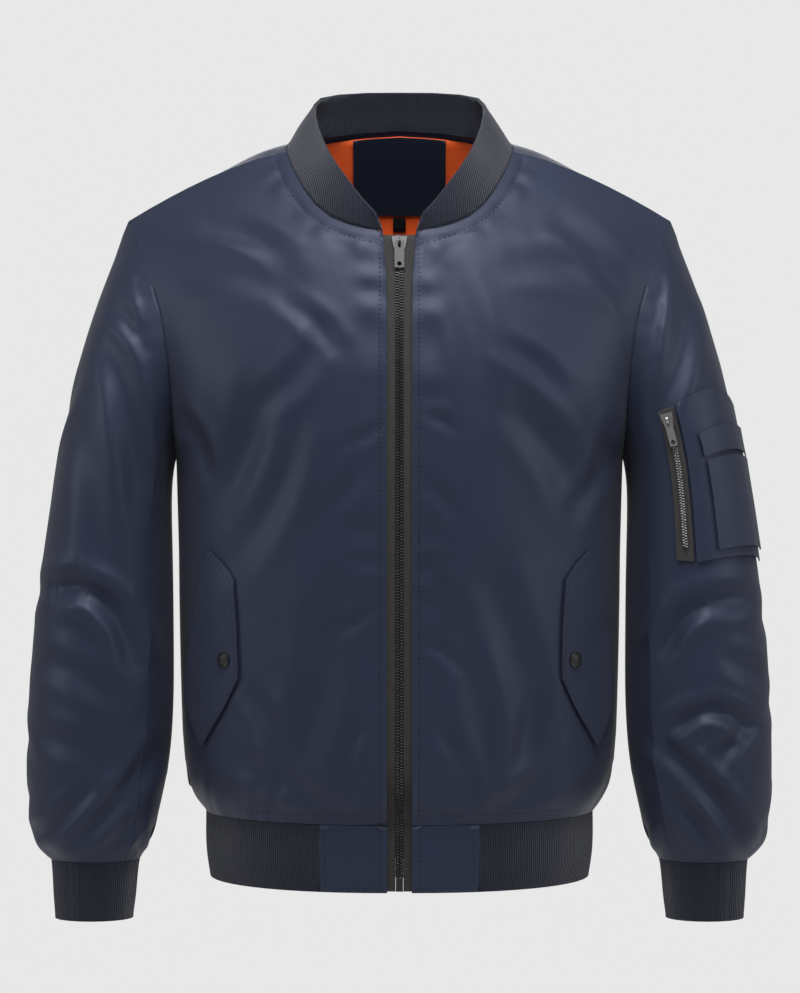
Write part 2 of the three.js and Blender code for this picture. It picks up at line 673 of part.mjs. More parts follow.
add('zip_box', laid(1, 1, 1.6, 1.6 - CHAIN, (across, along, out) => {
  const z = mix(ZIP_BOTTOM, ZIP_BOTTOM + 12 - GAP, along);
  return vector(mix(-3.2, 3.2, across), tapeY(z) + out, z);
}), darkMetal());

// A slider plate, its bail, and the pull tab that hangs on the bail. In the group's own frame the
// chain's face is y = 0, out is -Y, and z runs up the chain.
const PLATE = 1.2;
const BAR_OUT = 3.7; // from the chain's face to the middle of the pull's bar
const PULL = 1.3;
const PULL_REST = -3; // degrees that the hanging tab leans in
// A flat shape in XZ, from a distance out to a thickness further out.
function flatPiece(shape, out, thickness) {
  const geometry = new THREE.ExtrudeGeometry(shape, {
    depth: thickness, bevelEnabled: false, curveSegments: 8,
  });
  geometry.rotateX(Math.PI / 2);
  geometry.translate(0, -out, 0);
  return geometry;
}
function roundedBar(halfWidth, bottom, top, radius) {
  const shape = new THREE.Shape();
  shape.moveTo(-halfWidth + radius, bottom);
  shape.absarc(halfWidth - radius, bottom + radius, radius, -Math.PI / 2, 0);
  shape.absarc(halfWidth - radius, top - radius, radius, 0, Math.PI / 2);
  shape.absarc(-halfWidth + radius, top - radius, radius, Math.PI / 2, Math.PI);
  shape.absarc(-halfWidth + radius, bottom + radius, radius, Math.PI, 1.5 * Math.PI);
  return shape;
}
function addSlider(prefix, group, material, wide, pullLength) {
  const plate = new THREE.Shape();
  plate.moveTo(-0.72 * wide, 6.5);
  plate.lineTo(-0.68 * wide, 2.5);
  plate.lineTo(-0.5 * wide, -6.5);
  plate.lineTo(0.5 * wide, -6.5);
  plate.lineTo(0.68 * wide, 2.5);
  plate.lineTo(0.72 * wide, 6.5);
  plate.closePath();
  add(`${prefix}_slider`, flatPiece(plate, GAP, PLATE), material, group);

  // The bail is an arch seen from the side, standing on the plate.
  const foot = GAP + PLATE + GAP;
  const arch = new THREE.Shape();
  arch.moveTo(-3.5, foot);
  arch.absarc(0, BAR_OUT, 3.5, Math.PI, 0, true);
  arch.lineTo(3.5, foot);
  arch.lineTo(2.1, foot);
  arch.absarc(0, BAR_OUT, 2.1, 0, Math.PI, false);
  arch.lineTo(-2.1, foot);
  arch.closePath();
  const bail = new THREE.ExtrudeGeometry(arch, { depth: 2, bevelEnabled: false, curveSegments: 8 });
  bail.applyMatrix4(new THREE.Matrix4().set(0, 0, 1, -1, 0, -1, 0, 0, 1, 0, 0, 0, 0, 0, 0, 1));
  add(`${prefix}_bail`, bail, material, group);

  const pull = roundedBar(0.46 * wide, -pullLength, 1.3, 1.2);
  const window = roundedBar(1.5, -6, -0.7, 0.4);
  const hole = new THREE.Path();
  hole.absarc(0, -pullLength + 3.6, 2.1, 0, 2 * Math.PI, false);
  pull.holes.push(window, hole);
  const hung = new THREE.Group();
  hung.position.set(0, -BAR_OUT, 0);
  hung.rotation.x = THREE.MathUtils.degToRad(-PULL_REST);
  group.add(hung);
  add(`${prefix}_pull`, flatPiece(pull, -PULL / 2, PULL), material, hung);
}

// Stand a group on a chain: its origin, the way out of the cloth and the way up the chain.
function standOn(group, origin, out, up) {
  const back = out.clone().negate().normalize();
  const right = back.clone().cross(up).normalize();
  const along = right.clone().cross(back).normalize();
  group.matrix.makeBasis(right, back, along).setPosition(origin);
  group.matrix.decompose(group.position, group.quaternion, group.scale);
  jacket.add(group);
}

const SLIDER_Z = -96;
const chainY = (z) => tapeY(z) + 1.6 - CHAIN;
const zipUp = vector(0, chainY(SLIDER_Z) - chainY(SLIDER_Z - 20), 20).normalize();
const frontSlider = new THREE.Group();
standOn(frontSlider, vector(0, chainY(SLIDER_Z) - 0.4, SLIDER_Z), vector(0, -zipUp.z, zipUp.y), zipUp);
addSlider('zip', frontSlider, darkMetal(), 9.5, 25);

// ---------- Pocket flaps and snaps ----------
// The flap's two edges at heights down its length.
const FLAP = [
  { z: -546, near: 176, far: 178 },
  { z: -527, near: 165, far: 187 },
  { z: -508, near: 154, far: 194 },
  { z: -484, near: 142.5, far: 193 },
  { z: -440, near: 144, far: 186 },
  { z: -396, near: 147, far: 178 },
  { z: -382, near: 157, far: 173.5 },
  { z: -371, near: 168, far: 169.5 },
];
const FLAP_THICK = 1.8;
const SNAP_RADIUS = 7;
for (const [which, side] of Object.entries(sides)) {
  const front = patches[`front_${which}`];
  const line = (along) => {
    const k = Math.min(Math.floor(along * (FLAP.length - 1)), FLAP.length - 2);
    const f = along * (FLAP.length - 1) - k;
    return Object.fromEntries(
      Object.keys(FLAP[0]).map((column) => [column, mix(FLAP[k][column], FLAP[k + 1][column], f)]));
  };
  add(`flap_${which}`, laid(3, 2 * (FLAP.length - 1), LAID, LAID + FLAP_THICK, (across, along, out) => {
    const row = line(along);
    return seenAt(front, side * mix(row.near, row.far, across), row.z, out);
  }), nylon());
  const snap = new THREE.LatheGeometry([
    new THREE.Vector2(0, 0), new THREE.Vector2(SNAP_RADIUS, 0), new THREE.Vector2(SNAP_RADIUS, 0.8),
    new THREE.Vector2(0.7 * SNAP_RADIUS, 2.2), new THREE.Vector2(0, 2.8),
  ], 18);
  snap.deleteAttribute('normal');
  snap.deleteAttribute('uv');
  const cap = add(`snap_${which}`, mergeVertices(snap, 1e-4), darkMetal());
  const low = seenAt(front, side * 155, -468, 0);
  const high = seenAt(front, side * 155, -468, 10);
  const out = high.clone().sub(low).normalize();
  cap.position.copy(low.addScaledVector(out, LAID + FLAP_THICK + 0.5));
  cap.quaternion.setFromUnitVectors(vector(0, 1, 0), out);
}

// ---------- Sleeve pocket, on the left top sleeve ----------
// Corners as columns and rows of the sleeve's own facets, so that the pieces bend with the sleeve:
// near is the edge towards the body, far the edge round the arm.
const arm = patches.sleeve_left_top;
const ARM = {
  tape: { nearTop: [14.95, 2.6], farTop: [14.0, 3.2], nearLow: [15.1, 7.1], farLow: [14.15, 7.3] },
  chain: { nearTop: [14.6, 3.05], farTop: [14.35, 3.15], nearLow: [14.7, 6.9], farLow: [14.45, 6.95] },
  pocket: { nearTop: [13.85, 3.25], farTop: [8.2, 5.1], nearLow: [14.0, 7.35], farLow: [8.2, 7.9] },
  upper: { nearTop: [13.0, 4.6], farTop: [8.4, 5.5], nearLow: [12.95, 5.2], farLow: [8.4, 6.0] },
  lower: { nearTop: [12.8, 5.35], farTop: [8.4, 6.1], nearLow: [12.75, 7.3], farLow: [8.4, 7.7] },
};
function armPoint(spot, across, along, out) {
  const corner = (k) => mix(
    mix(spot.nearLow[k], spot.farLow[k], across), mix(spot.nearTop[k], spot.farTop[k], across), along);
  return onFacets(arm, corner(0), corner(1), out);
}
function sewnOnArm(name, spot, columns, rows, low, thickness, material) {
  add(name, laid(columns, rows, low, low + thickness,
    (across, along, out) => armPoint(spot, across, along, out)), material);
}
const ARM_TAPE = 1;
const ARM_CLOTH = 1.4;
const chainLow = LAID + ARM_TAPE + 0.5;
const pensLow = LAID + ARM_CLOTH + 1;
sewnOnArm('arm_zip_tape', ARM.tape, 2, 14, LAID, ARM_TAPE, tape());
sewnOnArm('arm_zip_chain', ARM.chain, 1, 14, chainLow, 1.4, silver());
sewnOnArm('arm_pocket', ARM.pocket, 10, 10, LAID, ARM_CLOTH, nylon());
sewnOnArm('pen_pocket_upper', ARM.upper, 8, 3, pensLow, 1.2, nylon());
sewnOnArm('pen_pocket_lower', ARM.lower, 8, 6, pensLow, 1.6, nylon());

const armTop = armPoint(ARM.chain, 0.5, 0.97, chainLow + 1.4);
const armLower = armPoint(ARM.chain, 0.5, 0.72, chainLow + 1.4);
const armOut = armPoint(ARM.chain, 0.5, 0.9, 20).sub(armPoint(ARM.chain, 0.5, 0.9, 0)).normalize();
const armUp = armTop.clone().sub(armLower).normalize();
armOut.addScaledVector(armUp, -armOut.dot(armUp)).normalize();
const armSlider = new THREE.Group();
standOn(armSlider, armTop.clone().lerp(armLower, 0.12).addScaledVector(armOut, 0.5), armOut, armUp);
addSlider('arm_zip', armSlider, silver(), 7.6, 24);

// ---------- Lining, facing and label, where they show in the neck ----------
// The height of the neck seam at a distance from the middle, at the back.
function neckHeight(x) {
  let low = 0.6;
  let high = 1;
  for (let turn = 0; turn < 30; turn += 1) {
    const middle = (low + high) / 2;
    if (outline(NECK, middle).x > Math.abs(x)) {
      low = middle;
    } else {
      high = middle;
    }
  }
  return outline(NECK, low).z;
}
const NECK_MARGIN = 4; // below the neck seam
function lining(name, halfWidth, bottom, columns, depth, thickness, material) {
  add(name, laid(columns, 6, -depth - thickness, -depth, (across, along, out) => {
    const x = mix(-halfWidth, halfWidth, across);
    return seenAt(patches.back, x, mix(bottom, neckHeight(x) - NECK_MARGIN, along), out);
  }), material);
}
const liningDepth = CLOTH + 1.2;
lining('lining_back', 76, -105, 14, liningDepth, 0.8, orange());
lining('neck_facing', 45, -48, 8, liningDepth + 0.8 + 0.8, 0.8, nylon());
const LABEL = { top: -50, bottom: -63, half: 6.2 };
add('neck_label', laid(1, 1, -liningDepth - 2.6, -liningDepth - 1.8, (across, along, out) =>
  seenAt(patches.back, mix(-LABEL.half, LABEL.half, across), mix(LABEL.bottom, LABEL.top, along), out),
), label());

export default jacket;
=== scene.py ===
# %% [markdown]
# # A nylon bomber jacket
# The jacket is hollow and stands as if worn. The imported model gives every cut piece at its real
# size. This script loads it as a fixed frame and gives each piece its cloth, folds and stitches.

# %% Load the frame
import json
import math

import bpy
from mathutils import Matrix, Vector
from mathutils.kdtree import KDTree


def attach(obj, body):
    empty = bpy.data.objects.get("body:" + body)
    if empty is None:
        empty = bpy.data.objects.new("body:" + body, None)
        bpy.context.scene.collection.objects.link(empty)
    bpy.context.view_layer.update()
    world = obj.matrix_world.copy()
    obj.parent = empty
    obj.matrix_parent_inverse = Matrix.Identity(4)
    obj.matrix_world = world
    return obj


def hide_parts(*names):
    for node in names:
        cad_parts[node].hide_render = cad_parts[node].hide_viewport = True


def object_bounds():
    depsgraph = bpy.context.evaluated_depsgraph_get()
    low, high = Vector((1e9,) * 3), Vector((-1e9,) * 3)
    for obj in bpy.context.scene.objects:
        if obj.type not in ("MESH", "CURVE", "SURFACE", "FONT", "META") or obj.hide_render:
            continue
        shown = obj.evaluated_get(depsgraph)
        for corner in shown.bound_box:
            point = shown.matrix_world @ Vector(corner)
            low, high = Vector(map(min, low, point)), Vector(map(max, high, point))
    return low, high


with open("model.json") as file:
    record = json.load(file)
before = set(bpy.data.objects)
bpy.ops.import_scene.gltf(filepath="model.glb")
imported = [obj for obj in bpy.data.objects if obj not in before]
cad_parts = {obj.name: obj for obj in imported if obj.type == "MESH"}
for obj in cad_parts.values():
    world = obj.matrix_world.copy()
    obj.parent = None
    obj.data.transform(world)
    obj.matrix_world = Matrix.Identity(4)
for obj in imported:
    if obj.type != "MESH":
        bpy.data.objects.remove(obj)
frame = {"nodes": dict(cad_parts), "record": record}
nodes = frame["nodes"]
cad_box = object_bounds()
MM = 0.001
print("nodes:", len(nodes), "box:", cad_box)

# %% [markdown]
# ## Materials
# Nylon is woven from bright filament, so it has a soft sheen and shows each fold as a light and a
# dark side. The rib is matt spun yarn. The colours are sRGB hex values, and one function turns
# them to the linear values that Blender mixes. One small function adds a node.


# %% Colour and node helpers
def linear(hex_colour):
    """An sRGB hex colour as linear RGBA."""
    channels = [int(hex_colour[i:i + 2], 16) / 255 for i in (1, 3, 5)]
    return [c / 12.92 if c <= 0.04045 else ((c + 0.055) / 1.055) ** 2.4 for c in channels] + [1]


def node(material, kind, links=None, **settings):
    """Adds a node, sets its properties or inputs by name, and links its inputs."""
    tree = material.node_tree
    new = tree.nodes.new(kind)
    for key, value in settings.items():
        if hasattr(new, key):
            setattr(new, key, value)
        else:
            new.inputs[key.replace("_", " ")].default_value = value
    for key, source in (links or {}).items():
        tree.links.new(source, new.inputs[key])
    return new


def finish_of(name, roughness, metallic=0.0, sheen=0.0):
    """A new material with its shader, whose plain values sit on the shader's own sockets."""
    material = bpy.data.materials.new(name)
    material.use_nodes = True
    shader = material.node_tree.nodes["Principled BSDF"]
    shader.inputs["Roughness"].default_value = roughness
    shader.inputs["Metallic"].default_value = metallic
    shader.inputs["Sheen Weight"].default_value = sheen
    if not metallic:
        # Dyed yarn reflects less at its surface than a smooth sheet, and a little bluish.
        shader.inputs["Specular IOR Level"].default_value = 0.3
        shader.inputs["Specular Tint"].default_value = linear("#cfd6ee")
    return material, shader


def set_input(material, shader, name, source):
    material.node_tree.links.new(source, shader.inputs[name])


# %% [markdown]
# ### Nylon
# Flight nylon is a fine twill of filament yarn, about 0.3 mm from thread to thread. That is too
# fine to show here, so the twill is drawn at 1.1 mm. A slow noise gives the faint patches that
# the cloth's tension leaves, and a finer one gives the small crumples of a thin shell over wadding.


# %% Nylon shell and lining
def woven_nylon(name, dark, light, roughness, sheen, crumple=0.35):
    material, shader = finish_of(name, roughness, sheen=sheen)
    where = node(material, "ShaderNodeTexCoord").outputs["Object"]
    patches = node(material, "ShaderNodeTexNoise", {"Vector": where}, Scale=9.0, Detail=3.0)
    colour = node(material, "ShaderNodeMix", {"Factor": patches.outputs["Fac"]}, data_type="RGBA")
    colour.inputs["A"].default_value = linear(dark)
    colour.inputs["B"].default_value = linear(light)
    set_input(material, shader, "Base Color", colour.outputs["Result"])
    crumples = node(material, "ShaderNodeTexNoise", {"Vector": where}, Scale=38.0, Detail=4.0)
    soft = node(material, "ShaderNodeBump", {"Height": crumples.outputs["Fac"]},
                Strength=crumple, Distance=0.004)
    turned = node(material, "ShaderNodeMapping", {"Vector": where})
    turned.inputs["Rotation"].default_value = (0.0, math.radians(27), 0.0)
    twill = node(material, "ShaderNodeTexWave", {"Vector": turned.outputs["Vector"]}, Scale=280.0)
    bump = node(material, "ShaderNodeBump",
                {"Height": twill.outputs["Fac"], "Normal": soft.outputs["Normal"]},
                Strength=0.07, Distance=0.0004)
    set_input(material, shader, "Normal", bump.outputs["Normal"])
    return material


NYLON = woven_nylon("navy flight nylon", "#171c2a", "#1f2537", 0.48, 0.05, 0.12)
ORANGE = woven_nylon("orange nylon lining", "#ff5316", "#ff7534", 0.5, 0.1, 0.3)


# %% [markdown]
# ### Rib, tape and metal
# A knitted rib has a raised wale about every 2 mm, running across the band. The wales follow the
# band round, so the pattern reads the piece's own UV map, whose first value is the way round in
# metres. The wave that raises the wales also colours them: darker in the grooves as painted shade,
# lighter on the ridges as painted highlight. The tape is a herringbone of dull yarn. The zip and
# the snaps are plated metal.


# %% Rib, tape, label and metal
def knitted_rib_with_painted_shade(name, dark, light, pitch=0.0022):
    material, shader = finish_of(name, 0.85, sheen=0.12)
    where = node(material, "ShaderNodeUVMap", uv_map="round").outputs["UV"]
    wales = node(material, "ShaderNodeTexWave", {"Vector": where}, Scale=1 / (3.18 * pitch))
    wales.inputs["Distortion"].default_value = 0.4
    # The wave's dark tone is painted shade in the grooves between the wales, its light tone painted
    # highlight on the ridges.
    colour = node(material, "ShaderNodeMix", {"Factor": wales.outputs["Fac"]}, data_type="RGBA")
    colour.inputs["A"].default_value = linear(dark)
    colour.inputs["B"].default_value = linear(light)
    set_input(material, shader, "Base Color", colour.outputs["Result"])
    bump = node(material, "ShaderNodeBump", {"Height": wales.outputs["Fac"]},
                Strength=0.8, Distance=0.0008)
    set_input(material, shader, "Normal", bump.outputs["Normal"])
    return material


def woven_tape_with_painted_shade(name, dark, light):
    material, shader = finish_of(name, 0.8)
    where = node(material, "ShaderNodeTexCoord").outputs["Object"]
    weave = node(material, "ShaderNodeTexVoronoi", {"Vector": where}, Scale=900.0)
    # The colour follows the same cells as the bump: the hollows of the weave are painted darker as
    # painted shade, the raised yarn lighter as painted highlight.
    colour = node(material, "ShaderNodeMix", {"Factor": weave.outputs["Distance"]},
                  data_type="RGBA")
    colour.inputs["A"].default_value = linear(dark)
    colour.inputs["B"].default_value = linear(light)
    set_input(material, shader, "Base Color", colour.outputs["Result"])
    bump = node(material, "ShaderNodeBump", {"Height": weave.outputs["Distance"]},
                Strength=0.4, Distance=0.0004)
    set_input(material, shader, "Normal", bump.outputs["Normal"])
    return material


def plated_metal(name, colour, roughness):
    material, shader = finish_of(name, roughness, metallic=1.0)
    shader.inputs["Base Color"].default_value = linear(colour)
    where = node(material, "ShaderNodeTexCoord").outputs["Object"]
    scuffs = node(material, "ShaderNodeTexNoise", {"Vector": where}, Scale=400.0)
    bump = node(material, "ShaderNodeBump", {"Height": scuffs.outputs["Fac"]},
                Strength=0.08, Distance=0.0003)
    set_input(material, shader, "Normal", bump.outputs["Normal"])
    return material


RIB = knitted_rib_with_painted_shade("navy knitted rib with painted groove shade", "#070912", "#131726")
TAPE = woven_tape_with_painted_shade("charcoal woven zip tape with painted weave shade", "#232220", "#35332f")
LABEL = woven_tape_with_painted_shade("black woven label with painted weave shade", "#0b0b0d", "#17171a")
GUNMETAL = plated_metal("gunmetal plate", "#39393a", 0.4)
NICKEL = plated_metal("nickel plate", "#9a9a9b", 0.32)
# The thread's colour is its own navy, painted darker as painted shade of its needle holes.
THREAD_WITH_HOLE_SHADE, thread_shader = finish_of("navy sewing thread with painted hole shade", 0.7)
thread_shader.inputs["Base Color"].default_value = linear("#06080e")

SLOT_FINISH = {"nylon": NYLON, "rib": RIB, "zip_tape": TAPE, "dark_metal": GUNMETAL,
               "silver_metal": NICKEL, "orange_lining": ORANGE, "label": LABEL}
slot_of = {row["node"]: row["material_slot"] for row in frame["record"]["subparts"]}

# %% [markdown]
# ## Folds
# Loose nylon hangs in soft folds: long slack ones from the shoulders, a knot of them in the elbow,
# and diagonals above the rib. Each fold is a row: the view that it is seen in, its two ends in
# millimetres, its depth and its width. A ridge runs beside each trough, as cloth only moves.

# %% Fold rows
# view: front or back gives x and z; left or right is a sleeve's outer side and gives y and z.
FOLDS = [
    # view, from, to, depth, width
    ("front", (-310, -408), (-292, -402), 6, 13), ("front", (-292, -402), (-258, -424), 7, 12),
    ("front", (-258, -424), (-240, -470), 6, 12), ("front", (-330, -470), (-262, -500), 2.5, 13),
    ("front", (-224, -556), (-290, -630), 5, 11), ("front", (-282, -590), (-334, -632), 4, 9),
    ("front", (-236, -600), (-262, -640), 3.5, 8), ("front", (-255, -155), (-225, -190), 4, 10),
    ("front", (-240, -90), (-222, -175), 5, 10), ("front", (-262, -190), (-238, -330), 4, 13),
    ("front", (-290, -260), (-275, -380), 2.5, 15), ("front", (-318, -540), (-270, -560), 2.5, 12),
    ("front", (240, -456), (262, -424), 6, 11), ("front", (262, -424), (318, -414), 5, 12),
    ("front", (245, -532), (282, -514), 5, 9), ("front", (282, -514), (316, -530), 5, 9),
    ("front", (284, -566), (312, -534), 4, 9), ("front", (236, -546), (318, -646), 5, 10),
    ("front", (250, -600), (286, -644), 3.5, 8), ("front", (228, -100), (220, -180), 4, 10),
    ("front", (262, -140), (232, -250), 4, 12), ("front", (300, -470), (332, -490), 3, 11),
    ("front", (-170, -74), (-104, -108), 3.5, 13), ("front", (-178, -120), (-96, -134), 2.5, 16),
    ("front", (-124, -232), (-156, -326), 3.5, 17), ("front", (-92, -262), (-148, -382), 3, 15),
    ("front", (-60, -420), (-110, -590), 3, 18), ("front", (-140, -560), (-60, -600), 2.5, 12),
    ("front", (150, -74), (206, -140), 3.5, 13), ("front", (112, -112), (190, -126), 2.5, 15),
    ("front", (112, -252), (158, -326), 3.5, 17), ("front", (84, -400), (122, -604), 4, 17),
    ("front", (60, -470), (76, -560), 2.5, 13), ("front", (150, -560), (70, -604), 2.5, 12),
    ("front", (-38, -300), (-58, -330), 2, 9), ("front", (-22, -262), (-44, -276), 1.8, 6),
    ("front", (22, -310), (50, -338), 2, 8), ("front", (20, -392), (44, -404), 1.8, 6),
    ("front", (-20, -360), (-46, -350), 1.8, 6), ("front", (-24, -420), (-52, -440), 2, 7),
    ("front", (24, -450), (52, -470), 2, 7), ("front", (24, -250), (46, -262), 1.6, 6),
    ("front", (-70, -180), (-112, -236), 2.6, 12), ("front", (48, -130), (70, -236), 2.2, 14),
    ("front", (-34, -500), (-52, -560), 2.4, 8), ("front", (34, -520), (66, -600), 2.6, 9),
    ("front", (-130, -500), (-104, -556), 2.4, 10), ("front", (126, -486), (100, -560), 2.6, 10),
    ("front", (-196, -250), (-170, -300), 2.6, 9), ("front", (192, -262), (160, -330), 2.6, 10),
    ("front", (-100, -150), (-56, -190), 2.2, 10), ("front", (96, -190), (140, -224), 2.4, 11),
    ("back", (-200, -150), (-120, -205), 4, 15), ("back", (200, -160), (128, -200), 4, 14),
    ("back", (-150, -240), (-92, -420), 3.5, 19), ("back", (140, -230), (84, -400), 3.5, 18),
    ("back", (-40, -380), (-70, -600), 3, 17), ("back", (60, -430), (92, -600), 3, 16),
    ("back", (0, -90), (10, -300), 1.8, 18), ("back", (-120, -520), (-40, -580), 2.5, 13),
    ("back", (-322, -404), (-252, -436), 5, 12), ("back", (-320, -470), (-246, -452), 4, 11),
    ("back", (-250, -560), (-318, -630), 4, 10), ("back", (-300, -250), (-260, -360), 3, 14),
    ("back", (326, -416), (250, -440), 5, 12), ("back", (318, -462), (244, -480), 4, 11),
    ("back", (246, -570), (310, -632), 4, 10), ("back", (296, -240), (256, -350), 3, 14),
    ("left", (-50, -450), (30, -420), 1.4, 12), ("left", (-40, -520), (34, -500), 1.3, 11),
    ("left", (-30, -620), (26, -570), 1.4, 9), ("left", (20, -200), (40, -330), 1.8, 14),
    ("right", (-52, -400), (32, -440), 1.4, 12), ("right", (-44, -560), (30, -520), 1.3, 11),
    ("right", (24, -630), (-36, -590), 1.4, 9), ("right", (-30, -220), (20, -330), 1.8, 14),
]
VIEWS = {"front": ((0, -1), 0), "back": ((0, 1), 0), "left": ((1, 0), 1), "right": ((-1, 0), 1)}
print("folds:", len(FOLDS))

# %% [markdown]
# The cloth moves in and out along one smooth direction field, the way out from the middle of the
# body or of the arm. Both faces of a wall read the same field, so the wall keeps its thickness,
# and so do pieces that are sewn on top of one another.


# %% The direction field and the fold function
def sleeve_middles():
    """The middle of the left sleeve in x and y at heights 20 mm apart."""
    spots = [v.co for name in ("sleeve_left_top", "sleeve_left_under")
             for v in nodes[name].data.vertices]
    middles = {}
    for step in range(3, 34):
        band = [p for p in spots if abs(p.z + step * 0.02) < 0.022]
        low_x, high_x = min(p.x for p in band), max(p.x for p in band)
        low_y, high_y = min(p.y for p in band), max(p.y for p in band)
        middles[step] = ((low_x + high_x) / 2, (low_y + high_y) / 2)
    return middles


MIDDLES = sleeve_middles()
BODY_WIDE, BODY_DEEP = 0.208, 0.143  # half the body's width and depth, in metres
SHOULDER_FROM, SHOULDER_RISE = -0.16, 0.13  # above this height the way out turns upwards


def way_out(p, on_sleeve):
    """The direction out of the garment at a point."""
    if not on_sleeve:
        out = Vector((p.x / BODY_WIDE ** 2, p.y / BODY_DEEP ** 2, 0)).normalized()
        top = min(max((p.z - SHOULDER_FROM) / SHOULDER_RISE, 0), 1)
        return (out * (1 - 0.75 * top) + Vector((0, 0, 1)) * top).normalized()
    at = min(max(-p.z / 0.02, 3), 32.99)
    low = int(at)
    low_x, low_y = MIDDLES[low]
    high_x, high_y = MIDDLES[low + 1]
    x = low_x + (high_x - low_x) * (at - low)
    y = low_y + (high_y - low_y) * (at - low)
    side = 1 if p.x > 0 else -1
    return Vector((p.x - side * x, p.y - y, 0)).normalized()


def seam_tree():
    """The armhole seams, as the sleeve points that touch a body panel."""
    panels = [v.co for name in ("front_left", "front_right", "back")
              for v in nodes[name].data.vertices]
    body = KDTree(len(panels))
    for index, spot in enumerate(panels):
        body.insert(spot, index)
    body.balance()
    seam = [v.co for name in ("sleeve_left_top", "sleeve_left_under", "sleeve_right_top",
                              "sleeve_right_under")
            for v in nodes[name].data.vertices if body.find(v.co)[2] < 1.2 * MM]
    tree = KDTree(len(seam))
    for index, spot in enumerate(seam):
        tree.insert(spot, index)
    tree.balance()
    return tree, seam


ARMHOLES, SEAM_SPOTS = seam_tree()


def ramp(value, start, end):
    """A smooth step from 0 at start to 1 at end."""
    share = min(max((value - start) / (end - start), 0), 1)
    return share * share * (3 - 2 * share)


def held(p, on_sleeve):
    """0 on a seam that holds the cloth, 1 away from it."""
    hold = ramp(ARMHOLES.find(p)[2], 9 * MM, 32 * MM)
    rib_seam = -0.655 if on_sleeve else -0.613
    return hold * ramp(p.z, rib_seam, rib_seam + 0.02)


def bell(away, width):
    """A trough with a lower ridge on either side."""
    share = (away / width) ** 2
    return math.exp(-share) - 0.55 * math.exp(-((abs(away) - 1.9 * width) / (0.8 * width)) ** 2)


FULLNESS = 1.08  # how strongly every fold shows, times its row's depth
SLEEVE_FROM = 222  # a front or back row further out than this, in mm, is on a sleeve


def fold_depth(p, out, on_sleeve):
    """How far the cloth lies inwards at a point, in metres."""
    depth = 0.0
    for view, start, end, deep, wide in FOLDS:
        facing_to, axis = VIEWS[view]
        if axis == 1 and (not on_sleeve or (p.x > 0) != (view == "left")):
            continue
        if axis == 0 and (abs(start[0] + end[0]) / 2 > SLEEVE_FROM) != on_sleeve:
            continue
        facing = out.x * facing_to[0] + out.y * facing_to[1]
        if facing <= 0.05:
            continue
        ax, az = start[0] * MM, start[1] * MM
        bx, bz = end[0] * MM, end[1] * MM
        px = p.y if axis == 1 else p.x
        run_x, run_z = bx - ax, bz - az
        length = math.hypot(run_x, run_z)
        along = ((px - ax) * run_x + (p.z - az) * run_z) / length ** 2
        away = ((px - ax) * run_z - (p.z - az) * run_x) / length
        if abs(away) > 3.2 * wide * MM or along < -0.4 or along > 1.4:
            continue
        # The fold bows a little and dies away towards its ends.
        away += 0.06 * length * math.sin(math.pi * min(max(along, 0), 1))
        ends = math.exp(-(max(-along, along - 1, 0) * length / (wide * MM)) ** 2)
        taper = 0.55 + 0.45 * math.sin(math.pi * min(max(along, 0), 1))
        strength = FULLNESS * deep * MM * ends * taper * min(facing * 1.6, 1)
        depth += strength * bell(away, 0.8 * wide * MM)
    return depth


def gathers(p):
    """Small upright puckers where the cloth is gathered above the hem rib and the cuffs."""
    depth = 0.0
    for seam, centre_x, centre_y, reach in ((-0.613, 0, 0, 0.045), (-0.655, 0.28, -0.022, 0.04)):
        above = p.z - seam
        if 0.001 < above < 2.2 * reach:
            turn = math.atan2(p.y - centre_y, abs(p.x) - centre_x if centre_x else p.x)
            radius = math.hypot(p.y - centre_y, abs(p.x) - centre_x if centre_x else p.x)
            if centre_x and radius > 0.1 or not centre_x and abs(p.x) > 0.215:
                continue
            way = turn * radius / 0.0075
            wave = math.sin(way + 1.4 * math.sin(0.37 * way))
            wave *= 0.6 + 0.4 * math.sin(0.23 * way + 1)
            strength = math.sin(math.pi * min(above / reach, 1) ** 0.6) if above < reach else 0
            depth += 0.0019 * wave * strength
    return depth


# The stitch line below the collar: x and z in millimetres, on either side of the middle.
NECK_LINE = [(19, -96), (30, -94), (48, -88), (66, -80), (84, -66), (99, -46), (108, -28),
             (114, -10)]


def neck_place(x, z):
    """The distance from the neck's stitch line, outwards, and the way along it, in metres."""
    best = (1.0, 0.0)
    run = 0.0
    for (ax, az), (bx, bz) in zip(NECK_LINE, NECK_LINE[1:]):
        along = Vector(((bx - ax) * MM, (bz - az) * MM))
        rel = Vector((abs(x) - ax * MM, z - az * MM))
        share = min(max(rel.dot(along) / along.length_squared, 0), 1)
        away = rel - along * share
        out = away.length if along.x * away.y - along.y * away.x < 0 else -away.length
        if abs(out) < abs(best[0]):
            best = (out, run + share * along.length)
        run += along.length
    return best


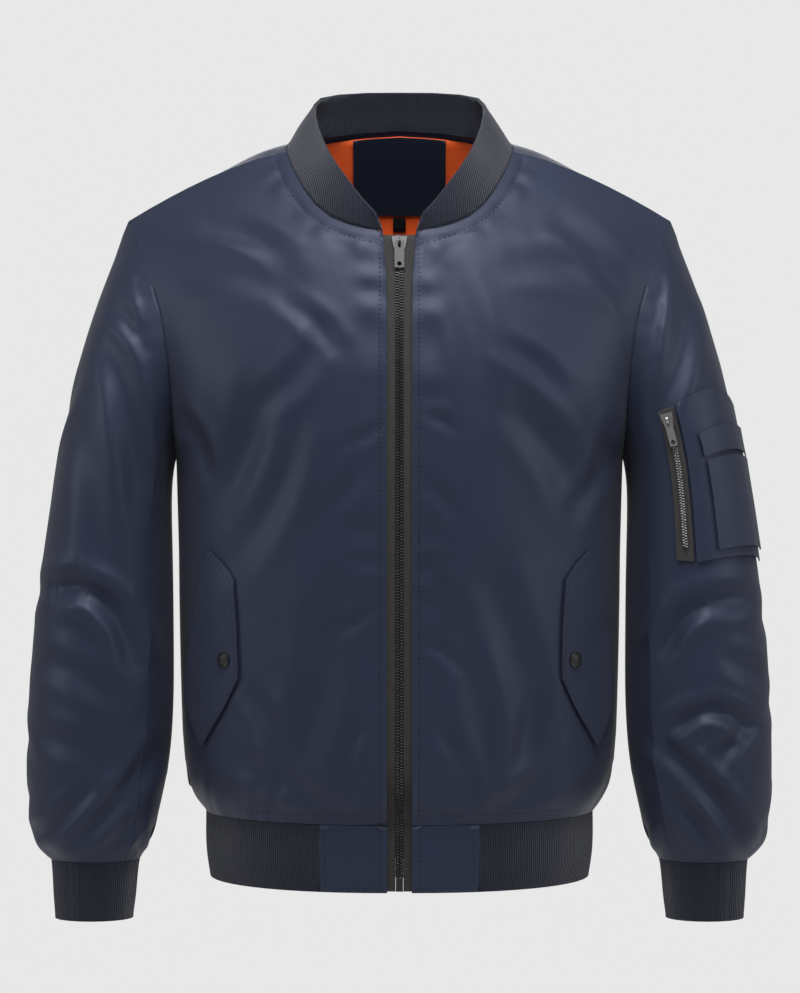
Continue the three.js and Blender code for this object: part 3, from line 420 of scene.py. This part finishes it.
def puckers(p):
    """The small pulls that stitching leaves beside the zip and below the collar."""
    if p.y > 0:
        return 0.0
    side = 0.7 if p.x > 0 else 0.0
    away = abs(p.x) - 0.0175
    way = p.z / 0.0062 + side
    pull = math.sin(way + 1.7 * math.sin(0.31 * way)) * (0.5 + 0.5 * math.sin(0.19 * way + side))
    depth = 0.0016 * pull * math.exp(-((away - 0.009) / 0.011) ** 2) if away > -0.004 else 0
    depth += 0.0011 * math.exp(-(away / 0.0024) ** 2)
    if p.z > -0.13 and abs(p.x) < 0.14:
        out, along = neck_place(p.x, p.z)
        turn = along / 0.0042 + side
        pull = math.sin(turn + 1.3 * math.sin(0.43 * turn)) * (0.6 + 0.4 * math.sin(0.3 * turn))
        depth += 0.0013 * pull * math.exp(-((out - 0.007) / 0.008) ** 2)
        depth += 0.0010 * math.exp(-(out / 0.0026) ** 2)
    return depth


# %% [markdown]
# ## Cloth pieces
# Each cloth piece starts as a copy of its cut solid. The copy is merged into one skin, its
# triangles become four-sided again, and Subdivision Surface rounds it, with the rims held by
# creases. Then every point moves by the folds.


# %% Copy, round and fold a piece
def only(piece):
    bpy.ops.object.select_all(action="DESELECT")
    piece.select_set(True)
    bpy.context.view_layer.objects.active = piece


def skin_copy(name, new_name):
    """A merged copy of a CAD node's mesh, as a new object."""
    mesh = nodes[name].data.copy()
    mesh.materials.clear()
    piece = bpy.data.objects.new(new_name, mesh)
    bpy.context.scene.collection.objects.link(piece)
    only(piece)
    bpy.ops.object.mode_set(mode="EDIT")
    bpy.ops.mesh.select_all(action="SELECT")
    bpy.ops.mesh.remove_doubles(threshold=1e-5)
    bpy.ops.mesh.tris_convert_to_quads(face_threshold=math.radians(60),
                                       shape_threshold=math.radians(120))
    bpy.ops.mesh.select_all(action="DESELECT")
    bpy.ops.mesh.edges_select_sharp(sharpness=math.radians(38))
    bpy.ops.transform.edge_crease(value=1.0)
    bpy.ops.object.mode_set(mode="OBJECT")
    return piece


def round_off(piece, levels):
    rounding = piece.modifiers.new("rounding", "SUBSURF")
    rounding.levels = levels
    rounding.render_levels = levels
    only(piece)
    bpy.ops.object.modifier_apply(modifier=rounding.name)


def settle(piece, on_sleeve, gathered=False):
    """Moves every point of a cloth piece by the folds."""
    for vertex in piece.data.vertices:
        p = vertex.co
        out = way_out(p, on_sleeve)
        depth = fold_depth(p, out, on_sleeve) * held(p, on_sleeve)
        if gathered:
            depth += gathers(p)
            if not on_sleeve:
                depth += puckers(p)
        vertex.co = p - out * depth
    piece.data.update()


def dress(piece, name, material):
    """Gives a piece its finish and its body, and hides the node that it stands for."""
    piece.data.materials.append(material)
    only(piece)
    bpy.ops.object.shade_smooth_by_angle(angle=math.radians(40))
    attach(piece, "jacket")
    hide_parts(name)


LEVELS = 3
cloth = {}
for name in ("front_left", "front_right", "back", "sleeve_left_top", "sleeve_left_under",
             "sleeve_right_top", "sleeve_right_under"):
    piece = skin_copy(name, name + "_cloth")
    round_off(piece, LEVELS)
    settle(piece, name.startswith("sleeve"), gathered=True)
    dress(piece, name, NYLON)
    cloth[name] = piece
    print(name, len(piece.data.polygons), "faces")

# %% [markdown]
# ## Sewn-on cloth
# Flaps, tabs and pockets lie on the panels. The flaps and pockets read the same folds.

# %% Flaps, tabs, pocket, facing, lining and label
for name in ("flap_left", "flap_right", "hem_tab_left", "hem_tab_right", "arm_pocket",
             "pen_pocket_upper", "pen_pocket_lower", "neck_facing", "lining_back", "neck_label",
             "zip_tape_left", "zip_tape_right", "arm_zip_tape"):
    piece = skin_copy(name, name + "_cloth")
    round_off(piece, 2)
    if name.startswith(("flap", "arm", "pen")):
        settle(piece, name.startswith(("arm", "pen")))
    dress(piece, name, SLOT_FINISH[slot_of[name]])
    cloth[name] = piece

# %% [markdown]
# ## Knitted bands
# The rib's pattern needs the way round each band. It is measured on the band itself: the angle
# about the middle is turned into a length through a fine table, whose steps are small turns.


# %% Ribs
def way_round(piece, centre):
    """Writes the UV map named round: the way round in metres, and the height."""
    rows = [(math.atan2(v.co.x - centre[0], -(v.co.y - centre[1])), v.co.copy())
            for v in piece.data.vertices]
    bins = {}
    for angle, p in rows:
        radius = math.hypot(p.x - centre[0], p.y - centre[1])
        bins.setdefault(round(angle * 20), []).append(radius)
    reach = {key: sum(values) / len(values) for key, values in bins.items()}
    keys = sorted(reach)
    total = {keys[0]: 0.0}
    for before, after in zip(keys, keys[1:]):
        a, b = reach[before], reach[after]
        turn = (after - before) / 20
        total[after] = total[before] + math.sqrt(max(a * a + b * b - 2 * a * b * math.cos(turn), 0))

    def length_at(angle):
        at = angle * 20
        low = max((k for k in keys if k <= at), default=keys[0])
        high = min((k for k in keys if k > at), default=keys[-1])
        share = (at - low) / (high - low) if high > low else 0
        return total[low] + (total[high] - total[low]) * share

    lengths = [length_at(angle) for angle, _ in rows]
    whole = total[keys[-1]]
    layer = piece.data.uv_layers.new(name="round")
    for face in piece.data.polygons:
        far = max(lengths[index] for index in face.vertices)
        for loop in face.loop_indices:
            index = piece.data.loops[loop].vertex_index
            length = lengths[index]
            # A face that crosses the join at the back reads on, past the whole way round.
            if far - length > whole / 2:
                length += whole
            layer.data[loop].uv = (length, rows[index][1].z)


BANDS = {"collar_rib": (0.0, -0.018), "hem_rib": (0.0, 0.0),
         "cuff_left": (0.28, -0.0225), "cuff_right": (-0.28, -0.0225)}
for name, centre in BANDS.items():
    piece = skin_copy(name, name + "_knit")
    round_off(piece, 2)
    way_round(piece, centre)
    dress(piece, name, RIB)
    cloth[name] = piece

# %% [markdown]
# ## Zip teeth
# A metal zip is two rows of small teeth that lock into each other, one tooth every 2.2 mm on each
# side. One tooth is modelled from a cube with bevelled edges, then copied down both rows.


# %% Teeth
def make_tooth(name, width, height, depth):
    bpy.ops.mesh.primitive_cube_add(size=1)
    tooth = bpy.context.active_object
    tooth.name = name
    for vertex in tooth.data.vertices:
        vertex.co = (vertex.co.x * width, vertex.co.y * depth, vertex.co.z * height)
        if vertex.co.x < 0:
            vertex.co.z *= 0.6
    bevel = tooth.modifiers.new("edge", "BEVEL")
    bevel.width = 0.2 * height
    bevel.segments = 1
    only(tooth)
    bpy.ops.object.modifier_apply(modifier=bevel.name)
    return tooth


def bar_path(node_name):
    """The middles of a bar's cross sections, from its foot up, and the way across each."""
    corners = sorted({tuple(round(c, 6) for c in v.co) for v in nodes[node_name].data.vertices},
                     key=lambda c: c[2])
    path = []
    for start in range(0, len(corners) - 3, 4):
        four = sorted((Vector(c) for c in corners[start:start + 4]), key=lambda p: p.x)
        path.append((sum(four, Vector()) / 4, (four[2] + four[3] - four[0] - four[1]).normalized()))
    return path


def chain_of(name, rest_node, width, material, pitch):
    """Rows of teeth down both sides of a bar, joined into one piece."""
    tooth = make_tooth("tooth", width, 0.55 * pitch, 2.2 * MM)
    points = [v.co.copy() for v in tooth.data.vertices]
    faces = [tuple(p.vertices) for p in tooth.data.polygons]
    bpy.data.objects.remove(tooth)
    path = bar_path(rest_node)
    vertices, polygons = [], []
    run, next_tooth, side = 0.0, 0.5 * pitch, 1
    for (low, across), (high, _) in zip(path, path[1:]):
        up = (high - low).normalized()
        out = across.cross(up).normalized()
        length = (high - low).length
        while next_tooth < run + length:
            middle = low + up * (next_tooth - run) + out * 0.4 * MM
            base = len(vertices)
            vertices += [middle + across * side * (0.36 * width + p.x) + up * p.z + out * p.y
                         for p in points]
            polygons += [[base + index for index in face] for face in faces]
            next_tooth += pitch / 2
            side = -side
        run += length
    mesh = bpy.data.meshes.new(name)
    mesh.from_pydata(vertices, [], polygons)
    mesh.update()
    piece = bpy.data.objects.new(name, mesh)
    bpy.context.scene.collection.objects.link(piece)
    only(piece)
    bpy.ops.object.mode_set(mode="EDIT")
    bpy.ops.mesh.select_all(action="SELECT")
    bpy.ops.mesh.normals_make_consistent(inside=False)
    bpy.ops.object.mode_set(mode="OBJECT")
    dress(piece, rest_node, material)
    print(name, len(vertices) // len(points), "teeth")


chain_of("front_zip_teeth", "zip_chain", 4.2 * MM, GUNMETAL, 2.6 * MM)
chain_of("arm_zip_teeth", "arm_zip_chain", 2.9 * MM, NICKEL, 2.4 * MM)

# %% [markdown]
# The teeth are clamped on two corded edges of the tape, which meet in the middle. They close the
# zip behind the teeth.

# %% Corded tape edges
cords = skin_copy("zip_chain", "zip_cords")
CORD_BACK, CORD_WIDER = 0.9 * MM, 1.1
for vertex in cords.data.vertices:
    vertex.co.x *= CORD_WIDER
    vertex.co.y += CORD_BACK
cords.data.materials.append(TAPE)
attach(cords, "jacket")

# %% [markdown]
# ## Armhole seams
# The sleeve is set into the armhole with a seam that is turned inwards, and the seam allowance
# fills the join. It is a closed tube through the middle of the wall, round the armhole.


# %% Seam allowances
def seam_middles(side):
    """The middle of the wall at each point of one armhole, in order round it."""
    spots = []
    for p in SEAM_SPOTS:
        if p.x * side > 0 and all((p - q).length > 0.2 * MM for q in spots):
            spots.append(p)
    middles = []
    for p in spots:
        other = min((q for q in spots if q is not p), key=lambda q: (q - p).length)
        if (other - p).length < 3.5 * MM:
            middle = (p + other) / 2
            if all((middle - m).length > 1.5 * MM for m in middles):
                middles.append(middle)
    centre = sum(middles, Vector()) / len(middles)
    return sorted(middles, key=lambda m: math.atan2(m.z - centre.z, m.y - centre.y))


for side, which in ((1, "left"), (-1, "right")):
    middles = seam_middles(side)
    curve = bpy.data.curves.new(f"armhole_seam_{which}", "CURVE")
    curve.dimensions = "3D"
    curve.bevel_depth = 1.5 * MM
    curve.bevel_resolution = 2
    curve.resolution_u = 5
    spline = curve.splines.new("NURBS")
    spline.points.add(len(middles) - 1)
    for point, middle in zip(spline.points, middles):
        point.co = (*middle, 1)
    spline.use_cyclic_u = True
    spline.order_u = 4
    tube = bpy.data.objects.new(f"armhole_seam_{which}", curve)
    bpy.context.scene.collection.objects.link(tube)
    only(tube)
    bpy.ops.object.convert(target="MESH")
    tube = bpy.context.active_object
    tube.data.materials.append(NYLON)
    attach(tube, "jacket")
    print(tube.name, len(middles), "points")

# %% [markdown]
# ## Metal pieces
# The sliders, bails, pulls and snaps are right as they are in the frame, so they stay and only
# get their plate.

# %% Plate on the metal nodes
for name in ("zip_box", "zip_slider", "zip_bail", "zip_pull", "snap_left", "snap_right",
             "arm_zip_slider", "arm_zip_bail", "arm_zip_pull"):
    holder = nodes[name]
    if not holder.data.materials:
        holder.data.materials.append(None)
    for spot in holder.material_slots:
        spot.material = SLOT_FINISH[slot_of[name]]

# %% [markdown]
# ## Stitches
# Topstitching shows as a row of short threads a few millimetres from an edge. Each row follows a
# line laid on its panel, and one stitch is a small lozenge, copied along it. The thread is navy,
# painted darker as the shade of the needle holes that it sits in.


# %% Stitch rows
def lay_on(piece, x, z, direction=-1):
    """The point of a cloth piece seen at x and z from the front, or None."""
    hit, spot, normal, _ = piece.ray_cast(Vector((x, direction, z)), Vector((0, -direction, 0)))
    return (spot, normal) if hit else None


def stitch_row(name, piece, line, length=2.9 * MM, gap=1.3 * MM, thick=0.6 * MM):
    """A row of stitches on a piece, along a line of x and z values in millimetres.

    A stitch is a low pyramid with a diamond for its foot."""
    line = [Vector((x * MM, z * MM)) for x, z in line]
    spots = []
    for a, b in zip(line, line[1:]):
        steps = max(int((b - a).length / (length + gap)), 1)
        for k in range(steps):
            start = a.lerp(b, k / steps)
            end = start + (b - a).normalized() * length
            first, second = lay_on(piece, *start), lay_on(piece, *end)
            if first and second:
                spots.append((first, second))
    vertices, faces = [], []
    for (p, n), (q, _) in spots:
        along = (q - p).normalized()
        side = along.cross(n).normalized() * thick
        base = len(vertices)
        middle = (p + q) / 2
        vertices += [p - n * thick * 0.3, q - n * thick * 0.3, middle + side, middle - side,
                     middle + n * thick]
        faces += [(base, base + 2, base + 4), (base + 2, base + 1, base + 4),
                  (base + 1, base + 3, base + 4), (base + 3, base, base + 4),
                  (base, base + 3, base + 1, base + 2)]
    mesh = bpy.data.meshes.new(name)
    mesh.from_pydata(vertices, [], faces)
    piece_out = bpy.data.objects.new(name, mesh)
    bpy.context.scene.collection.objects.link(piece_out)
    mesh.materials.append(THREAD_WITH_HOLE_SHADE)
    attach(piece_out, "jacket")
    return len(spots)


for side, which in ((1, "left"), (-1, "right")):
    front = cloth[f"front_{which}"]
    stitch_row(f"neck_stitches_{which}", front, [(side * x, z) for x, z in NECK_LINE])
    stitch_row(f"zip_stitches_{which}", front, [(side * 17.5, -96), (side * 17.5, -610)])
    stitch_row(f"hem_stitches_{which}", front, [(side * x, -604) for x in range(20, 160, 10)])
    stitch_row(f"tab_stitches_{which}", cloth[f"hem_tab_{which}"],
               [(side * 17.5, -616), (side * 17.5, -669), (side * 66, -669), (side * 66, -616)])
    stitch_row(f"flap_stitches_{which}", cloth[f"flap_{which}"],
               [(side * 173, -536), (side * 146.5, -484), (side * 151, -398), (side * 167, -378)])

# %% [markdown]


# %% [markdown]
# ## Stage, light and camera
# A pale floor, one broad light from above in front, a weaker one on each side, and the camera
# 2.5 m in front at the height of the chest.


# %% Stage
def add_light(name, place, aim, size, power):
    light = bpy.data.lights.new(name, "AREA")
    light.size = size
    light.energy = power
    holder = bpy.data.objects.new(name, light)
    holder.location = place
    holder.rotation_euler = (Vector(aim) - Vector(place)).to_track_quat("-Z", "Y").to_euler()
    bpy.context.scene.collection.objects.link(holder)


FLOOR_DROP = 0.35
bpy.ops.mesh.primitive_plane_add(size=8, location=(0, -2.6, cad_box[0][2] - FLOOR_DROP))
floor = bpy.context.active_object
floor.name = "floor"
floor_paint, floor_shader = finish_of("pale floor", 0.9)
floor_shader.inputs["Base Color"].default_value = linear("#c4c4c4")
# The floor glows a little, so that it stays pale where the lights don't reach.
floor_shader.inputs["Emission Color"].default_value = linear("#e8e8e8")
floor_shader.inputs["Emission Strength"].default_value = 0.3
floor.data.materials.append(floor_paint)
middle = (0, 0, -0.3)
add_light("top front light", (0.15, -1.3, 1.8), middle, 1.5, 66)
add_light("neck light", (0, -0.55, 0.85), (0, 0.02, -0.02), 0.6, 9)
add_light("left light", (-2.0, -1.0, 0.3), middle, 1.0, 15)
add_light("right light", (2.0, -1.0, 0.3), middle, 1.0, 15)
add_light("back light", (0, 2.4, 0.6), middle, 1.5, 20)
world = bpy.data.worlds.new("studio")
bpy.context.scene.world = world
world.use_nodes = True
# The paper behind is brighter than the room that lights the jacket.
sky = world.node_tree.nodes["Background"]
sky.inputs["Color"].default_value = linear("#e8e8e8")
ray = world.node_tree.nodes.new("ShaderNodeLightPath")
strength = world.node_tree.nodes.new("ShaderNodeMapRange")
strength.inputs["To Min"].default_value = 0.28
world.node_tree.links.new(ray.outputs["Is Camera Ray"], strength.inputs["Value"])
world.node_tree.links.new(strength.outputs["Result"], sky.inputs["Strength"])
bpy.context.scene.view_settings.view_transform = "Standard"

camera = bpy.data.cameras.new("camera")
camera.sensor_fit = "VERTICAL"
camera.sensor_height = 36
camera.lens = 97.5
camera_holder = bpy.data.objects.new("camera", camera)
camera_holder.location = (0.0005, -2.5, -0.322)
camera_holder.rotation_euler = (math.radians(90), 0, 0)
bpy.context.scene.collection.objects.link(camera_holder)
bpy.context.scene.camera = camera_holder
